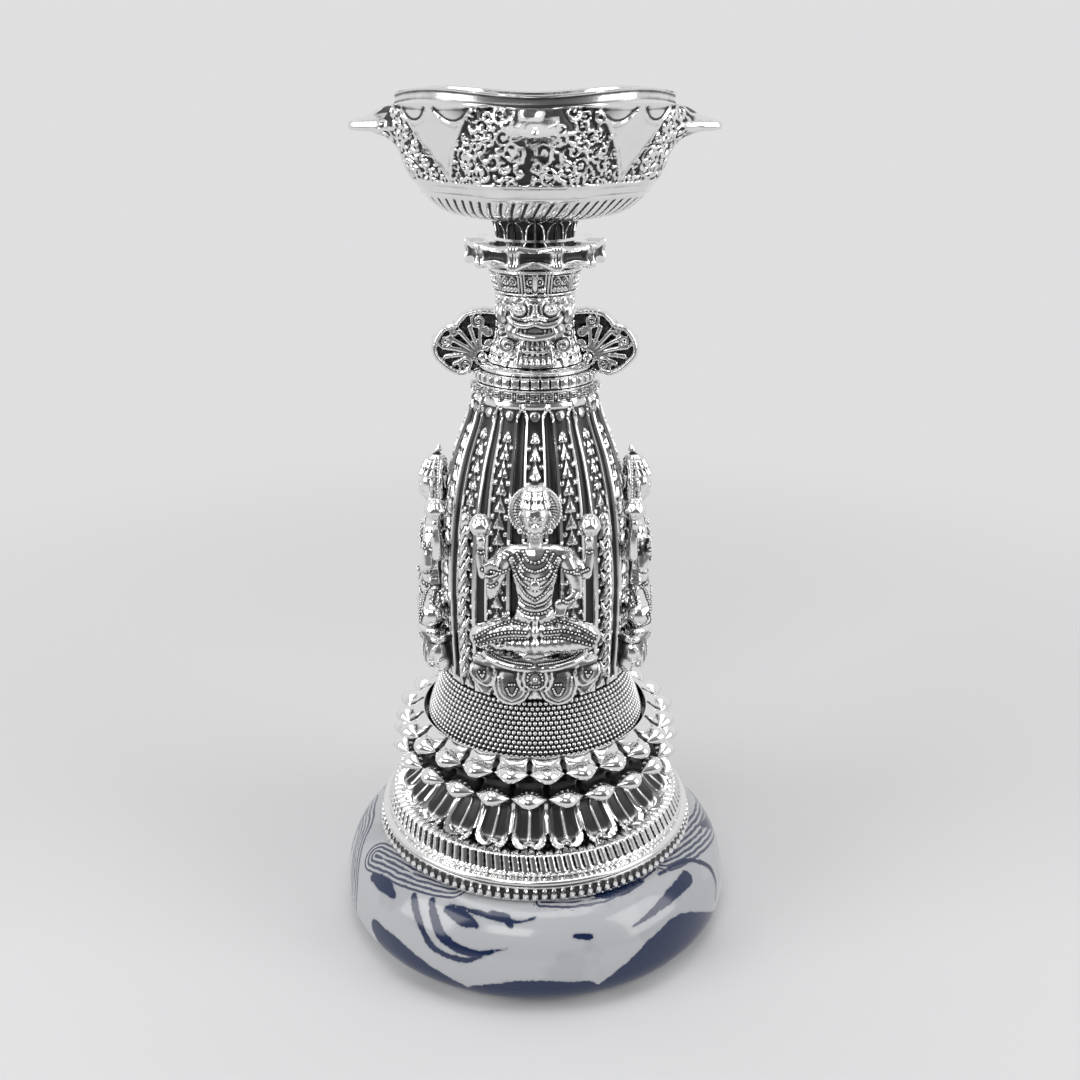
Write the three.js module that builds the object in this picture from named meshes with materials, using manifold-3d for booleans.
// Diya stand: a silver lamp stand with a lotus base, four seated figures round a ribbed body, a mask
// with scroll wings on its neck and a four-beaked oil bowl, standing on a marbled plinth.
// Millimetres, +Z up. The origin is on the table under the centre, and the front faces -Y.
import * as THREE from "three";
import * as BufferGeometryUtils from "three/addons/utils/BufferGeometryUtils.js";
import Module from "manifold-3d";

const wasm = await Module();
wasm.setup();

// Driving dimensions
const CLEAR = 0.3; // gap between pieces that meet
const TURN = 2 * Math.PI;

const PAD_R = 5;
const PAD_H = 1;
const PAD_COUNT = 4;
const PAD_RING_R = 38; // centre line of the pads
const PLINTH_R = 55; // at its waist
const PLINTH_H = 24.7;
const PLINTH_WAIST = 6.5; // height of the widest line above the underside
const PLINTH_TOP_R = 43; // flat top
const PLINTH_FOOT_R = 48; // flat underside

const ROPE_R = 44.7;
const ROPE_H = 4.2;
const STEP_R = 43.9;
const STEP_H = 1.6;
const BAND_R = 42.3; // plain foot of the gadroon ring
const BAND_H = 1;
const GADROON_R = 41.9; // at its foot
const GADROON_TOP_R = 40.5;
const GADROON_H = 4.4;
const GADROON_COUNT = 36;
const GADROON_RELIEF = 0.6;
const RING_BORE_R = 38.8; // bore of the rope and step rings, over the base plate

const PLATE_R = 38.5;
const PLATE_T = 1.2;
const WASHER_R = 6;
const WASHER_T = 0.8;
const NUT_R = 4.6; // to the corners
const NUT_H = 2.7;
const ROD_R = 2.5;
const ROD_STUB = 0.4; // rod that stands below its nut
const ROD_FIT = 0.15; // radial clearance round the rod

const PETAL_COUNT = 24; // petals in each tier
const LOTUS_TURN = THREE.MathUtils.degToRad(-2.4); // the lotus base stands slightly turned
const LOWER_TIP_R = 39.3;
const LOWER_WAIST_R = 32.5;
const LOWER_H = 10.5;
const LOWER_RELIEF = 2.2; // depth of the grooves between petals
const MIDDLE_R = 40.4; // over the bulbs
const MIDDLE_H = 6.4;
const UPPER_R = 39.4;
const UPPER_H = 6.2;
const BULB_RELIEF = 2.8;
const LOTUS_BORE_R = 29; // hollow inside the tiers

const DOME_R = 31.2; // at its foot, inside the upper tier
const DOME_H = 18.9;
const DOME_TOP_R = 25.4;
const SHELL_WALL = 1.4; // wall of the dome and of the body

const BODY_H = 76.7;
const BODY_FOOT_R = 24.6;
const BODY_BELLY_R = 25.2;
const BODY_TOP_R = 15.7;
const RIB_COUNT = 16;
const RIB_H = 0.6; // how far the leaf columns stand out along their middle
const FLUTE_DEPTH = 1.1; // of the smooth flutes between the columns

const FRET_R = 16.7;
const FRET_H = 3;
const STUD_R = 15.9;
const STUD_H = 2.5;
const STUD_COUNT = 38;
const STUD_RELIEF = 0.6;
const CAP_R = 14.7;
const CAP_H = 1.4;
const COLLAR_BORE_R = 10; // bore of the three collar rings

const NECK_R = 10.1;
const NECK_FOOT_R = 12.4;
const NECK_H = 16.9;
const CROWN_R = 12.1; // at its top edge
const CROWN_FOOT_R = 10.5;
const CROWN_H = 6.4;
const CROWN_PANELS = 10;
const CROWN_RELIEF = 0.35;

const DRIP_R = 17.4; // at the corners of the wavy collar
const DRIP_H = 6.3;
const DRIP_LOBES = 10;
const DRIP_DIP = 1.6; // how far its edges draw in between corners
const DRIP_NECK_R = 11.6; // its plain inner ring
const DRIP_NECK_H = 3; // and how tall that ring stays between the corners

const PEG_R = 5;
const PEG_FIT = 0.3; // radial running clearance of the peg
const SOCKET_DEPTH = 9.5; // in the neck
const BUSH_WALL = 1.2;

const FOOT_R = 10.2; // leaf neck under the bowl
const FOOT_TOP_R = 11.2;
const FOOT_H = 4.2;
const FOOT_LEAVES = 12;
const FOOT_RELIEF = 0.4;

const BOWL_H = 30.1;
const BOWL_SEAT_R = 13.5; // flat underside
const BOWL_LIP_R = 33.9;
const BOWL_LIP_H = 3.6; // plain upright band under the edge
const BOWL_WALL = 1.6;
const BEAK_COUNT = 4; // to the front, the back and the sides
const BEAK_R = 45.2; // over the tips
const BEAK_DROP = 5.8; // tip below the lip band
const BEAK_ROOT = 8; // height of a beak where it leaves the wall
const BEAK_SPREAD = THREE.MathUtils.degToRad(24); // half angle of a beak's root
const GUSSET_DIP = 3; // how far the smooth gussets between the beaks draw in
const PANEL_TOP = THREE.MathUtils.degToRad(24); // half angle of a chased panel, under the lip band
const PANEL_FOOT = THREE.MathUtils.degToRad(43.5); // and at its foot
const PANEL_SUNK = 0.5;
const BOWL_FLUTES = 24; // round the underside
const BOWL_FLUTE_DEPTH = 0.5;

const FIGURE_COUNT = 4;
const SEAT_TOP = 15.4; // top of the lotus seats above the body's foot
const SEAT_HALF_W = 16.5;
const FIGURE_OUT = 5.8; // front of the knees, beyond the belly of the body
const KNEE_X = 9.6;
const HEAD_R = 4.3;
const HALO_R = 7;
const HEAD_Z = 36.2; // centre of the head above the seat
const SHOULDER_Z = 26.5;
const CROWN_TIP_Z = 46.8; // point of the figure's crown above the seat
const STALK_R = 1.5; // twisted stems between the figures
const STALK_FROM = 4; // above the body's foot
const STALK_TO = 49;

const MASK_HALF_W = 7.6;
const MASK_EYE_R = 1.9;
const MASK_EYE_X = 3.8;
const MASK_EYE_Z = 14.7; // above the neck's foot
const WING_T = 6; // thickness of the scroll wings
const WING_REACH = 26.6; // outermost point, from the axis

// Materials
const silver = new THREE.MeshStandardMaterial({ color: 0xd9dbdc, roughness: 0.18, metalness: 1 });
const oxidised = new THREE.MeshStandardMaterial({ color: 0x8f9294, roughness: 0.4, metalness: 1 });
const steel = new THREE.MeshStandardMaterial({ color: 0xa9acb0, roughness: 0.35, metalness: 1 });
const marbled = new THREE.MeshStandardMaterial({ color: 0xb9bcc2, roughness: 0.12, metalness: 0 });
const felt = new THREE.MeshStandardMaterial({ color: 0x1c222c, roughness: 0.95, metalness: 0 });

// Heights of the stack, each piece one clearance above the one under it
const plinthZ = PAD_H + CLEAR;
const ropeZ = plinthZ + PLINTH_H + CLEAR;
const stepZ = ropeZ + ROPE_H + CLEAR;
const gadroonZ = stepZ + STEP_H + CLEAR;
const lowerZ = gadroonZ + BAND_H + GADROON_H + CLEAR;
const middleZ = lowerZ + LOWER_H + CLEAR;
const upperZ = middleZ + MIDDLE_H + CLEAR;
const domeZ = upperZ;
const bodyZ = domeZ + DOME_H + CLEAR;
const fretZ = bodyZ + BODY_H + CLEAR;
const studZ = fretZ + FRET_H + CLEAR;
const capZ = studZ + STUD_H + CLEAR;
const neckZ = capZ + CAP_H + CLEAR;
const crownZ = neckZ + NECK_H + CLEAR;
const dripZ = crownZ + CROWN_H + CLEAR;
const footZ = dripZ + DRIP_H + CLEAR;
const bowlZ = footZ + FOOT_H + CLEAR;
const socketZ = neckZ + NECK_H - SOCKET_DEPTH;
const plateZ = gadroonZ - CLEAR - PLATE_T;
const washerZ = plateZ - CLEAR - WASHER_T;
const nutZ = washerZ - CLEAR - NUT_H;

// Geometry helpers
const LIMB_SIDES = 4;

function facingOut(geometry) {
  geometry.deleteAttribute("normal");
  geometry.deleteAttribute("uv");
  const merged = BufferGeometryUtils.mergeVertices(geometry, 1e-5);
  const p = merged.attributes.position;
  const old = merged.index.array;
  const kept = [];
  let volume = 0;
  for (let i = 0; i < old.length; i += 3) {
    const [a, b, c] = [old[i], old[i + 1], old[i + 2]];
    if (a === b || b === c || c === a) continue;
    kept.push(a, b, c);
    const v = [a, b, c].map((k) => new THREE.Vector3().fromBufferAttribute(p, k));
    volume += v[0].dot(v[1].cross(v[2]));
  }
  if (volume < 0) kept.reverse();
  merged.setIndex(kept);
  return merged;
}

// A piece turned about Z: outline is [radius, height] points that close on themselves or run from
// axis to axis, and carve(angle, radius, height) may move a point to a new [radius, height].
function turned(outline, sides, carve = null) {
  const points = outline.map(([r, z]) => new THREE.Vector2(r, z));
  const onAxis = outline[0][0] === 0;
  if (!onAxis) points.push(points[0].clone());
  const geometry = new THREE.LatheGeometry(points, sides);
  geometry.rotateX(Math.PI / 2);
  const p = geometry.attributes.position;
  for (let side = 0; carve && side <= sides; side++) {
    const angle = ((side % sides) * TURN) / sides;
    points.forEach((point, i) => {
      const [r, z] = point.x === 0 ? [0, point.y] : carve(angle, point.x, point.y, i % outline.length);
      p.setXYZ(side * points.length + i, r * Math.sin(angle), -r * Math.cos(angle), z);
    });
  }
  return facingOut(geometry);
}

// A ring of four or more corners between an outer line and a bore
function ring(outer, bore, sides, carve = null) {
  const foot = outer[0][1];
  const top = outer[outer.length - 1][1];
  return turned([...outer, [bore, top], [bore, foot]], sides, (angle, r, z, i) => {
    return carve && r > bore ? carve(angle, r, z, i) : [r, z];
  });
}

function lump(x, y, z, rx, ry, rz, sides = 7, rows = 4) {
  const geometry = new THREE.SphereGeometry(1, sides, rows);
  geometry.rotateX(Math.PI / 2);
  geometry.scale(rx, ry, rz);
  geometry.translate(x, y, z);
  return solid(geometry);
}

function limb(from, to, radius) {
  const a = new THREE.Vector3(...from);
  const b = new THREE.Vector3(...to);
  const geometry = new THREE.CylinderGeometry(radius, radius, a.distanceTo(b) + radius, LIMB_SIDES);
  const along = b.clone().sub(a).normalize();
  geometry.applyQuaternion(new THREE.Quaternion().setFromUnitVectors(new THREE.Vector3(0, 1, 0), along));
  const middle = a.add(b).multiplyScalar(0.5);
  geometry.translate(middle.x, middle.y, middle.z);
  return solid(geometry);
}

function solid(geometry) {
  const closed = facingOut(geometry);
  const mesh = new wasm.Mesh({
    numProp: 3,
    vertProperties: new Float32Array(closed.attributes.position.array),
    triVerts: new Uint32Array(closed.index.array),
  });
  return new wasm.Manifold(mesh);
}

function geometryOf(manifold) {
  const mesh = manifold.getMesh();
  const geometry = new THREE.BufferGeometry();
  geometry.setAttribute("position", new THREE.BufferAttribute(mesh.vertProperties, 3));
  geometry.setIndex(new THREE.BufferAttribute(mesh.triVerts, 1));
  return geometry;
}

const joined = (parts) => parts.reduce((sum, part) => sum.add(part));
const mix = (a, b, t) => a + (b - a) * t;
// 1 on a lobe and 0 in the groove beside it
const lobes = (angle, count) => 0.5 + 0.5 * Math.cos(count * angle);

// Plinth
function plinthGeometry() {
  const steps = 5;
  const outline = [[0, 0], [PLINTH_FOOT_R, 0]];
  const below = PLINTH_R - PLINTH_FOOT_R;
  for (let i = 1; i < 3; i++) {
    const t = (i / 3) * (Math.PI / 2);
    outline.push([PLINTH_FOOT_R + below * Math.sin(t), PLINTH_WAIST * (1 - Math.cos(t))]);
  }
  for (let i = 0; i <= steps; i++) {
    const t = (i / steps) * (Math.PI / 2);
    const r = PLINTH_TOP_R + (PLINTH_R - PLINTH_TOP_R) * Math.cos(t);
    outline.push([r, PLINTH_WAIST + (PLINTH_H - PLINTH_WAIST) * Math.sin(t)]);
  }
  outline.push([0, PLINTH_H]);
  return turned(outline, 48);
}

function padGeometry() {
  const geometry = new THREE.CylinderGeometry(PAD_R, PAD_R, PAD_H, 16);
  geometry.rotateX(Math.PI / 2);
  geometry.translate(0, 0, PAD_H / 2);
  return facingOut(geometry);
}

// Rings of the base
function ropeRingGeometry() {
  const round = ROPE_H * 0.3;
  const outer = [[ROPE_R - round, 0], [ROPE_R, ROPE_H / 2], [ROPE_R - round, ROPE_H]];
  return ring(outer, RING_BORE_R, 56);
}

function stepRingGeometry() {
  const round = STEP_H * 0.4;
  return ring([[STEP_R - round, 0], [STEP_R, STEP_H / 2], [STEP_R - round, STEP_H]], RING_BORE_R, 48);
}

function gadroonRingGeometry() {
  const top = BAND_H + GADROON_H;
  const outer = [[BAND_R, 0], [BAND_R, BAND_H], [GADROON_R, BAND_H], [GADROON_TOP_R, top]];
  return ring(outer, PLATE_R - 3.5, GADROON_COUNT * 2, (angle, r, z, i) => {
    return i < 2 ? [r, z] : [r - GADROON_RELIEF * (1 - lobes(angle, GADROON_COUNT)), z];
  });
}

// Lotus tiers: the grooves between petals are cut deepest where the petals stand out most
function lowerPetalsGeometry() {
  const outer = [
    [LOWER_TIP_R - 1.6, 0],
    [LOWER_TIP_R, LOWER_H * 0.12],
    [LOWER_TIP_R - 0.6, LOWER_H * 0.26],
    [mix(LOWER_WAIST_R, LOWER_TIP_R, 0.42), LOWER_H * 0.48],
    [LOWER_WAIST_R, LOWER_H],
  ];
  return ring(outer, LOTUS_BORE_R, PETAL_COUNT * 2, (angle, r, z) => {
    const stand = (r - LOWER_WAIST_R + 1) / (LOWER_TIP_R - LOWER_WAIST_R + 1);
    return [r - LOWER_RELIEF * stand * (1 - lobes(angle, PETAL_COUNT)) ** 2, z];
  });
}

function bulbTierGeometry(radius, height, shift) {
  const outer = [];
  const rows = 4;
  const waist = radius - 5.4;
  for (let i = 0; i <= rows; i++) {
    const t = -Math.PI / 2 + (Math.PI * i) / rows;
    outer.push([waist + (radius - waist) * Math.cos(t), (height / 2) * (1 + Math.sin(t))]);
  }
  return ring(outer, LOTUS_BORE_R + CLEAR + 2.6, PETAL_COUNT * 2, (angle, r, z) => {
    const stand = (r - waist) / (radius - waist);
    const groove = (1 - lobes(angle + shift, PETAL_COUNT)) ** 2;
    return [r - BULB_RELIEF * stand * groove, z + (height / 2 - z) * 0.3 * groove];
  });
}

// Profiles of the dome and the body, as radius at a height above the piece's foot
const domeRadius = (z) => mix(DOME_R, DOME_TOP_R, (Math.max(0, z) / DOME_H) ** 1.25);

const bodyCurve = new THREE.CatmullRomCurve3(
  [
    [BODY_FOOT_R, 0],
    [BODY_BELLY_R, 0.18],
    [BODY_BELLY_R, 0.38],
    [mix(BODY_TOP_R, BODY_BELLY_R, 0.86), 0.6],
    [mix(BODY_TOP_R, BODY_BELLY_R, 0.56), 0.78],
    [mix(BODY_TOP_R, BODY_BELLY_R, 0.16), 0.92],
    [BODY_TOP_R, 1],
  ].map(([r, t]) => new THREE.Vector3(r, t * BODY_H, 0)),
);
const BODY_ROWS = 8;
const bodyLine = bodyCurve.getPoints(BODY_ROWS).map((point) => [point.x, point.y]);

function bodyGeometry() {
  const outer = bodyLine;
  const inner = bodyLine.filter((point, i) => i !== 1 && i !== 2).reverse();
  const bore = inner.map(([r, z]) => [r - RIB_H - SHELL_WALL, z]);
  return turned([...outer, ...bore], RIB_COUNT * 6, (angle, r, z, i) => {
    if (i >= outer.length) return [r, z];
    const across = Math.abs(((((angle * RIB_COUNT) / TURN + 0.5) % 1) - 0.5));
    const fluted = across > 0.4 && i > 0 && i < outer.length - 1;
    return [r + RIB_H * (1 - across) - (fluted ? FLUTE_DEPTH : 0), z];
  });
}

function domeGeometry() {
  const rows = 3;
  const outer = [];
  const inner = [];
  for (let i = 0; i <= rows; i++) {
    const z = (DOME_H * i) / rows;
    outer.push([domeRadius(z), z]);
    inner.unshift([domeRadius(z) - SHELL_WALL * 1.3, z]);
  }
  return turned([...outer, ...inner], 40);
}

// Everything that stands on the body is cut back to this skin, in the body's own heights
function skin() {
  const flats = 16;
  const round = 1 / Math.cos(Math.PI / flats);
  const below = [0, 0.5, 1].map((t) => [(domeRadius(DOME_H * t) + CLEAR) * round, (t - 1) * DOME_H - CLEAR]);
  const above = bodyLine.map(([r, z]) => [(r + RIB_H + CLEAR) * round, z]);
  const outline = [[0, -DOME_H - CLEAR], ...below, ...above, [0, BODY_H]];
  return solid(turned(outline, flats).rotateZ(Math.PI / flats));
}
const bodySkin = skin();

// Depths in a figure and its seat are measured back from the front of its knees
const depth = (back) => back - BODY_BELLY_R - FIGURE_OUT;

// A seated figure with a halo, a crown, two raised hands with lotus flowers and two lower hands
function figureGeometry() {
  const chest = depth(4.2);
  const halo = new THREE.CylinderGeometry(HALO_R, HALO_R, 5, 12);
  halo.translate(0, depth(7), HEAD_Z);
  const crown = new THREE.CylinderGeometry(0.6, HEAD_R * 0.86, CROWN_TIP_Z - HEAD_Z - 2, 8);
  crown.rotateX(Math.PI / 2);
  crown.translate(0, depth(4.8), (CROWN_TIP_Z + HEAD_Z + 2) / 2);
  const parts = [
    lump(0, depth(4.6), 5, 12, 6, 4.8),
    lump(0, chest, 16, 6.4, 4, 10, 6),
    lump(0, depth(4.6), SHOULDER_Z - 0.6, 9, 3.4, 3.6, 6),
    lump(0, depth(3.8), HEAD_Z, HEAD_R, HEAD_R, HEAD_R * 1.2, 8, 4),
    solid(halo),
    solid(crown),
  ];
  for (const side of [-1, 1]) {
    const shoulder = [side * 7.4, depth(4.8), SHOULDER_Z - 0.4];
    const elbow = [side * 12.4, depth(6.3), 20.5];
    const hand = [side * 13.4, depth(7.6), 30.5];
    parts.push(lump(side * KNEE_X, depth(4.8), 6.6, 7.4, 5, 5, 6));
    parts.push(limb(shoulder, elbow, 1.8));
    parts.push(limb(elbow, hand, 1.7));
    parts.push(lump(hand[0], depth(8.2), 33, 3.2, 2.6, 3, 6));
  }
  parts.push(limb([-7.4, chest, SHOULDER_Z - 1], [-9.8, depth(3), 19], 1.9));
  parts.push(limb([-9.8, depth(3), 18], [-10.9, depth(2.4), 22], 2.1));
  parts.push(limb([7.4, chest, SHOULDER_Z - 1], [9.4, depth(3), 16], 1.9));
  parts.push(limb([9.4, depth(3), 16], [6.4, depth(0.8), 13.6], 2));
  const below = new THREE.BoxGeometry(80, 80, 40);
  below.translate(0, 0, SEAT_TOP - 20 + CLEAR);
  const figure = joined(parts).translate([0, 0, SEAT_TOP]);
  return geometryOf(figure.subtract(bodySkin).subtract(solid(below)));
}

// The lotus seat under a figure: a flat top, a centre petal, two that hang down and two at the sides
function seatGeometry() {
  const top = SEAT_TOP;
  const parts = [
    lump(0, depth(5.6), top - 2.2, SEAT_HALF_W - 0.5, 6.6, 3.4, 10, 4),
    lump(0, depth(2), top - 5.2, 6.6, 2.8, 5),
  ];
  for (const side of [-1, 1]) {
    parts.push(lump(side * 5.6, depth(3.4), top - 9.2, 5.2, 3, 5.6));
    parts.push(lump(side * 12, depth(6), top - 5.8, 5.8, 3.6, 4.2));
  }
  const above = new THREE.BoxGeometry(80, 80, 20);
  above.translate(0, 0, top + 10);
  return geometryOf(joined(parts).subtract(bodySkin).subtract(solid(above)));
}

// A twisted stem that climbs the body midway between two figures
function stalkGeometry() {
  const steps = 8;
  const route = [];
  for (let i = 0; i <= steps; i++) {
    const z = mix(STALK_FROM, STALK_TO, i / steps);
    const row = bodyLine.findIndex((point) => point[1] >= z);
    const [below, above] = [bodyLine[row - 1], bodyLine[row]];
    const r = mix(below[0], above[0], (z - below[1]) / (above[1] - below[1]));
    route.push(new THREE.Vector3(0, -(r + RIB_H + CLEAR + STALK_R * 0.4), z));
  }
  const section = new THREE.Shape();
  for (let i = 0; i < 6; i++) {
    const angle = (i * TURN) / 6;
    section[i ? "lineTo" : "moveTo"](STALK_R * Math.cos(angle), STALK_R * Math.sin(angle));
  }
  const path = new THREE.CatmullRomCurve3(route);
  const geometry = new THREE.ExtrudeGeometry(section, { steps, extrudePath: path });
  return geometryOf(solid(geometry).subtract(bodySkin));
}

// Collar rings between the body and the neck
function fretRingGeometry() {
  const outer = [[FRET_R - 0.5, 0], [FRET_R, 0.5], [FRET_R, FRET_H - 0.5], [FRET_R - 0.4, FRET_H]];
  return ring(outer, COLLAR_BORE_R, 32);
}

function studRingGeometry() {
  const outer = [[STUD_R, 0], [STUD_R - 0.2, STUD_H]];
  return ring(outer, COLLAR_BORE_R, STUD_COUNT * 2, (angle, r, z) => {
    return [r - STUD_RELIEF * (1 - lobes(angle, STUD_COUNT)), z];
  });
}

function capRingGeometry() {
  const outer = [[CAP_R - 0.4, 0], [CAP_R, CAP_H * 0.5], [CAP_R - 0.6, CAP_H]];
  return ring(outer, COLLAR_BORE_R, 32);
}

// Neck, with the rod's hole below and the socket for the bowl's bush above
const neckLine = [
  [NECK_FOOT_R, 0],
  [NECK_FOOT_R - 0.6, NECK_H * 0.12],
  [NECK_R + 0.2, NECK_H * 0.4],
  [NECK_R, NECK_H * 0.75],
  [NECK_R, NECK_H],
];
const NECK_SIDES = 24;
const bushR = PEG_R + PEG_FIT + BUSH_WALL;

function neckGeometry() {
  const socket = NECK_H - SOCKET_DEPTH;
  const rodHole = ROD_R + ROD_FIT;
  const floor = [[bushR + CLEAR, NECK_H], [bushR + CLEAR, socket], [rodHole, socket], [rodHole, 0]];
  return turned([...neckLine, ...floor], NECK_SIDES);
}

function neckSkin() {
  const sides = neckLine.map(([r, z]) => [r + CLEAR, z]);
  const collar = [[0, -CLEAR], [CAP_R + CLEAR, -CLEAR], [CAP_R + CLEAR, 0]];
  return solid(turned([...collar, ...sides, [0, NECK_H]], NECK_SIDES));
}

function collarSkin() {
  const outline = [
    [0, fretZ - neckZ],
    [FRET_R + CLEAR, fretZ - neckZ],
    [FRET_R + CLEAR, studZ - neckZ],
    [STUD_R + CLEAR, studZ - neckZ],
    [STUD_R + CLEAR, capZ - neckZ],
    [CAP_R + CLEAR, capZ - neckZ],
    [CAP_R + CLEAR, 0],
    [0, 0],
  ];
  return solid(turned(outline, 24));
}

// A guardian mask with round eyes, a wide lip and a hanging tassel
function maskGeometry() {
  const tassel = new THREE.CylinderGeometry(3.4, 5.6, 8.4, 4, 1);
  tassel.rotateY(Math.PI / 4);
  tassel.rotateX(Math.PI / 2);
  tassel.scale(1, 0.62, 1);
  tassel.translate(0, -NECK_R - 1.3, 4.4);
  const parts = [
    lump(0, 1.5 - NECK_R, 11.4, MASK_HALF_W, 3.8, 5.4, 8, 5),
    lump(0, -NECK_R - 1.5, 12.2, 1.6, 2, 1.8, 6),
    lump(0, -NECK_R - 1.2, 9.4, 6.6, 1.8, 1.7),
    solid(tassel),
  ];
  for (const side of [-1, 1]) {
    const eye = lump(side * MASK_EYE_X, -NECK_R - 1, MASK_EYE_Z, MASK_EYE_R, MASK_EYE_R * 0.8, MASK_EYE_R);
    parts.push(eye);
    parts.push(lump(side * 7, 0.1 - NECK_R, 6.4, 2.8, 3, 3.2, 6));
  }
  return geometryOf(joined(parts).subtract(neckSkin()));
}

// A scroll wing, drawn in the XZ plane from the neck outwards
function wingGeometry() {
  const reach = WING_REACH;
  const outline = new THREE.Shape();
  outline.moveTo(8, 2);
  outline.lineTo(8, 12.4);
  outline.quadraticCurveTo(reach - 13, 13.6, reach - 10, 12);
  outline.quadraticCurveTo(reach - 6.8, 11.4, reach - 6.8, 9.2);
  outline.quadraticCurveTo(reach - 1.6, 8.6, reach - 0.3, 4);
  outline.quadraticCurveTo(reach + 0.3, 0.6, reach - 2.4, -1.2);
  outline.quadraticCurveTo(reach - 4.2, -2.6, reach - 6, -3.8);
  outline.lineTo(reach - 9, -4.4);
  outline.lineTo(8, -3);
  const round = 1.2;
  const geometry = new THREE.ExtrudeGeometry(outline, {
    depth: WING_T - 2 * round,
    curveSegments: 5,
    bevelThickness: round,
    bevelSize: round,
    bevelOffset: -round,
    bevelSegments: 1,
  });
  geometry.translate(0, 0, -(WING_T - 2 * round) / 2);
  geometry.rotateX(Math.PI / 2);
  const bore = solid(turned([[0, -9], [NECK_R + 1, -9], [NECK_R + 1, 0], [0, 0]], 24));
  return geometryOf(solid(geometry).subtract(neckSkin()).subtract(collarSkin()).subtract(bore));
}

function crownGeometry() {
  const outer = [
    [CROWN_FOOT_R, 0],
    [CROWN_FOOT_R + 0.1, CROWN_H * 0.15],
    [mix(CROWN_FOOT_R, CROWN_R, 0.6), CROWN_H * 0.6],
    [CROWN_R, CROWN_H],
  ];
  return ring(outer, bushR + CLEAR, CROWN_PANELS * 4, (angle, r, z) => {
    return [r - CROWN_RELIEF * lobes(angle, CROWN_PANELS), z];
  });
}

// The loose drip collar: two wavy edges that part at the corners and close between them
function dripCollarGeometry() {
  const half = DRIP_H / 2;
  const outer = [
    [DRIP_NECK_R, 0],
    [DRIP_R - 1.2, 0],
    [DRIP_R, half * 0.35],
    [DRIP_R - 1, half],
    [DRIP_R, half * 1.65],
    [DRIP_R - 1.2, DRIP_H],
    [DRIP_NECK_R, DRIP_H],
  ];
  const low = DRIP_NECK_H / DRIP_H;
  return ring(outer, PEG_R + PEG_FIT, DRIP_LOBES * 4, (angle, r, z) => {
    if (r <= DRIP_NECK_R) return [r, z];
    const between = 1 - lobes(angle + Math.PI / DRIP_LOBES, DRIP_LOBES);
    return [r - DRIP_DIP * between, half + (z - half) * mix(1, low, between)];
  });
}

// Bowl, its foot and its peg
function bowlFootGeometry() {
  const outer = [[FOOT_R, 0], [FOOT_R + 0.2, FOOT_H * 0.5], [FOOT_TOP_R, FOOT_H]];
  return ring(outer, PEG_R + CLEAR, FOOT_LEAVES * 3, (angle, r, z) => {
    return [r - FOOT_RELIEF * (1 - lobes(angle, FOOT_LEAVES)), z];
  });
}

const bowlLine = [
  [BOWL_SEAT_R, 0],
  [BOWL_LIP_R * 0.62, BOWL_H * 0.05],
  [BOWL_LIP_R * 0.75, BOWL_H * 0.14],
  [BOWL_LIP_R * 0.87, BOWL_H * 0.3],
  [BOWL_LIP_R * 0.895, BOWL_H * 0.35],
  [BOWL_LIP_R * 0.94, BOWL_H * 0.46],
  [BOWL_LIP_R * 0.975, BOWL_H * 0.6],
  [BOWL_LIP_R * 0.985, BOWL_H - BOWL_LIP_H - BEAK_DROP],
  [BOWL_LIP_R * 0.99, BOWL_H - BOWL_LIP_H - 0.6],
  [BOWL_LIP_R * 0.995, BOWL_H - BOWL_LIP_H],
  [BOWL_LIP_R - 0.7, BOWL_H],
];

function bowlGeometry() {
  const tipZ = BOWL_H - BOWL_LIP_H - BEAK_DROP;
  const bore = bowlLine.filter((point, i) => i % 2).reverse();
  const inner = bore.map(([r, z], i) => [r - BOWL_WALL, i ? z + BOWL_WALL : BOWL_H]);
  const under = BOWL_H - BOWL_LIP_H;
  const sides = BEAK_COUNT * 12;
  return turned([[0, 0], ...bowlLine, ...inner, [0, BOWL_WALL + 0.6]], sides, (angle, r, z, i) => {
    const belly = Math.sin(Math.PI * Math.min(1, z / under));
    const dip = GUSSET_DIP * belly * (1 - lobes(angle, BEAK_COUNT)) ** 2;
    if (i > bowlLine.length) return [r - dip, z];
    const sector = TURN / BEAK_COUNT;
    const off = Math.abs(((angle + sector / 2) % sector) - sector / 2);
    const chased = i > 4 && i < bowlLine.length - 1 && off < mix(PANEL_FOOT, PANEL_TOP, z / under);
    const fluted = i > 1 && i < 4 ? 1 - lobes(angle, BOWL_FLUTES) : 0;
    const sunk = (chased ? PANEL_SUNK : 0) + BOWL_FLUTE_DEPTH * fluted;
    const side = Math.max(0, 1 - off / BEAK_SPREAD);
    const height = Math.max(0, 1 - Math.abs(z - tipZ) / (BEAK_ROOT / 2)) ** 1.2;
    return [mix(r - dip - sunk, BEAK_R, side ** 1.6 * height), z];
  });
}

function cylinder(radius, height, sides, bore = 0) {
  if (bore) return ring([[radius, 0], [radius, height]], bore, sides);
  return turned([[0, 0], [radius, 0], [radius, height], [0, height]], sides);
}

function nutGeometry() {
  return ring([[NUT_R, 0], [NUT_R, NUT_H]], ROD_R + ROD_FIT, 12, (angle, r, z) => {
    const onFlat = Math.round((angle * 12) / TURN) % 2;
    return [onFlat ? r * Math.cos(Math.PI / 6) : r, z];
  });
}

// Assembly
const group = new THREE.Group();

function place(name, geometry, material, z, turn = 0) {
  const mesh = new THREE.Mesh(geometry, material);
  mesh.name = name;
  mesh.position.z = z;
  mesh.rotation.z = turn;
  group.add(mesh);
  return mesh;
}

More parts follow.
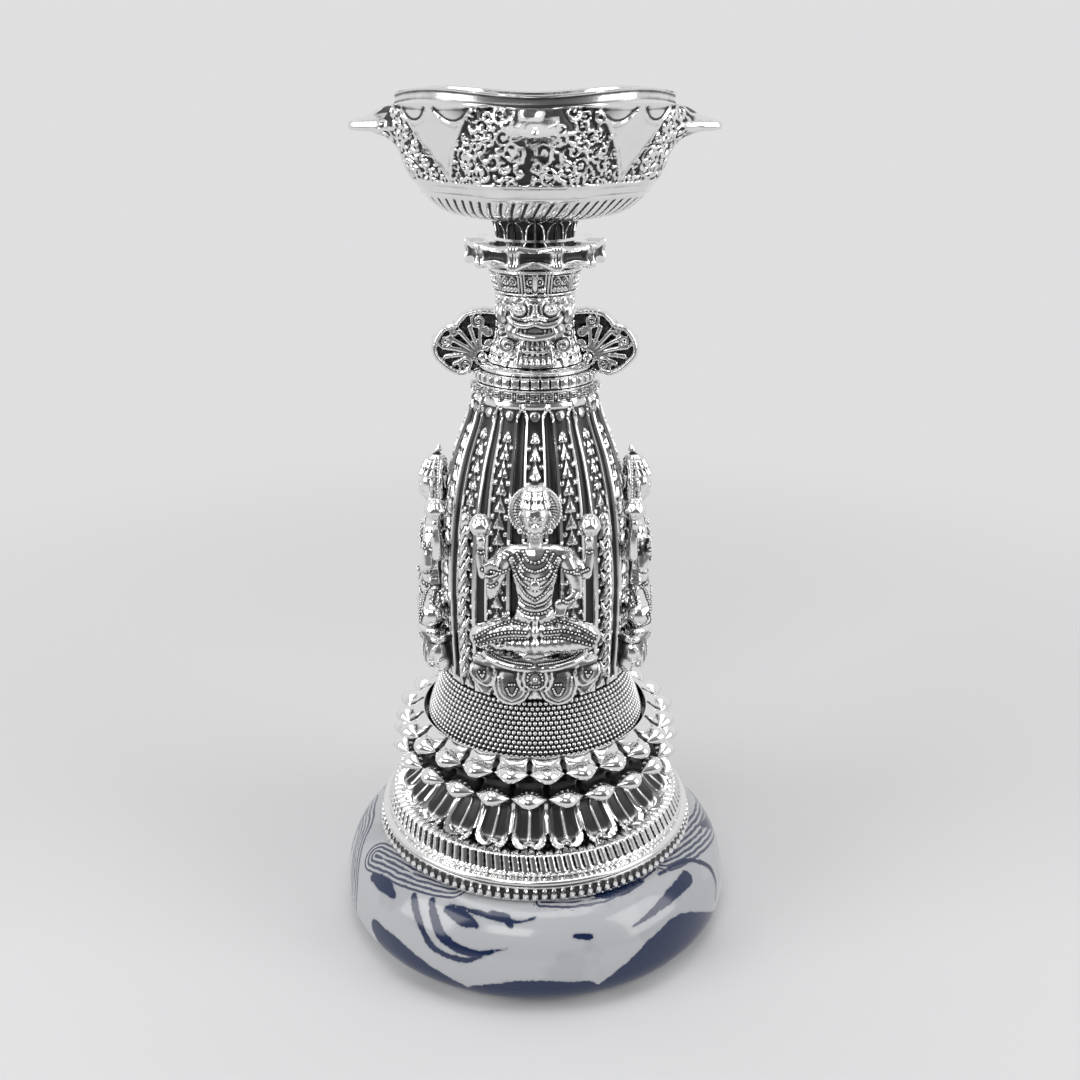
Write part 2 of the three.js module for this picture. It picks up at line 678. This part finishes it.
place("plinth_body", plinthGeometry(), marbled, plinthZ);
for (let i = 0; i < PAD_COUNT; i++) {
  const angle = ((i + 0.5) * TURN) / PAD_COUNT;
  const pad = place(`plinth_pad_${i + 1}`, padGeometry(), felt, 0);
  pad.position.x = PAD_RING_R * Math.cos(angle);
  pad.position.y = PAD_RING_R * Math.sin(angle);
}

place("rope_ring", ropeRingGeometry(), silver, ropeZ);
place("step_ring", stepRingGeometry(), silver, stepZ);
place("gadroon_ring", gadroonRingGeometry(), silver, gadroonZ);
place("base_plate", cylinder(PLATE_R, PLATE_T, 32, ROD_R + ROD_FIT), steel, plateZ);
place("rod_washer", cylinder(WASHER_R, WASHER_T, 16, ROD_R + ROD_FIT), steel, washerZ);
place("rod_nut", nutGeometry(), steel, nutZ);
const rodFoot = nutZ - ROD_STUB;
const rodTop = socketZ - CLEAR;
place("tie_rod", cylinder(ROD_R, rodTop - rodFoot, 16), steel, rodFoot);

const halfPetal = Math.PI / PETAL_COUNT;
place("lower_petals", lowerPetalsGeometry(), silver, lowerZ, LOTUS_TURN);
place("middle_petals", bulbTierGeometry(MIDDLE_R, MIDDLE_H, 0), silver, middleZ, LOTUS_TURN);
place("upper_petals", bulbTierGeometry(UPPER_R, UPPER_H, halfPetal), silver, upperZ, LOTUS_TURN);
place("bead_dome", domeGeometry(), oxidised, domeZ);
place("body_shell", bodyGeometry(), silver, bodyZ);

const figure = figureGeometry();
const seat = seatGeometry();
const stalk = stalkGeometry();
["front", "right", "back", "left"].forEach((where, i) => {
  const turn = (i * TURN) / FIGURE_COUNT;
  place(`figure_${where}`, figure, silver, bodyZ, turn);
  place(`lotus_seat_${where}`, seat, silver, bodyZ, turn);
  place(`stalk_${i + 1}`, stalk, silver, bodyZ, turn + TURN / FIGURE_COUNT / 2);
});

place("fret_ring", fretRingGeometry(), silver, fretZ);
place("stud_ring", studRingGeometry(), silver, studZ);
place("cap_ring", capRingGeometry(), silver, capZ);
place("neck_core", neckGeometry(), oxidised, neckZ);
const mask = maskGeometry();
place("mask_front", mask, silver, neckZ);
place("mask_back", mask, silver, neckZ, Math.PI);
const wing = wingGeometry();
place("wing_right", wing, silver, neckZ);
place("wing_left", wing, silver, neckZ, Math.PI);
place("crown_band", crownGeometry(), silver, crownZ);
const bushZ = socketZ + CLEAR;
place("socket_bush", cylinder(bushR, crownZ + CROWN_H - bushZ, 24, PEG_R + PEG_FIT), steel, bushZ);

place("drip_collar", dripCollarGeometry(), silver, dripZ);
place("bowl_foot", bowlFootGeometry(), oxidised, footZ);
const pegZ = bushZ + CLEAR;
place("bowl_peg", cylinder(PEG_R, footZ + FOOT_H - pegZ, 24), steel, pegZ);
place("bowl", bowlGeometry(), silver, bowlZ);

export default group;
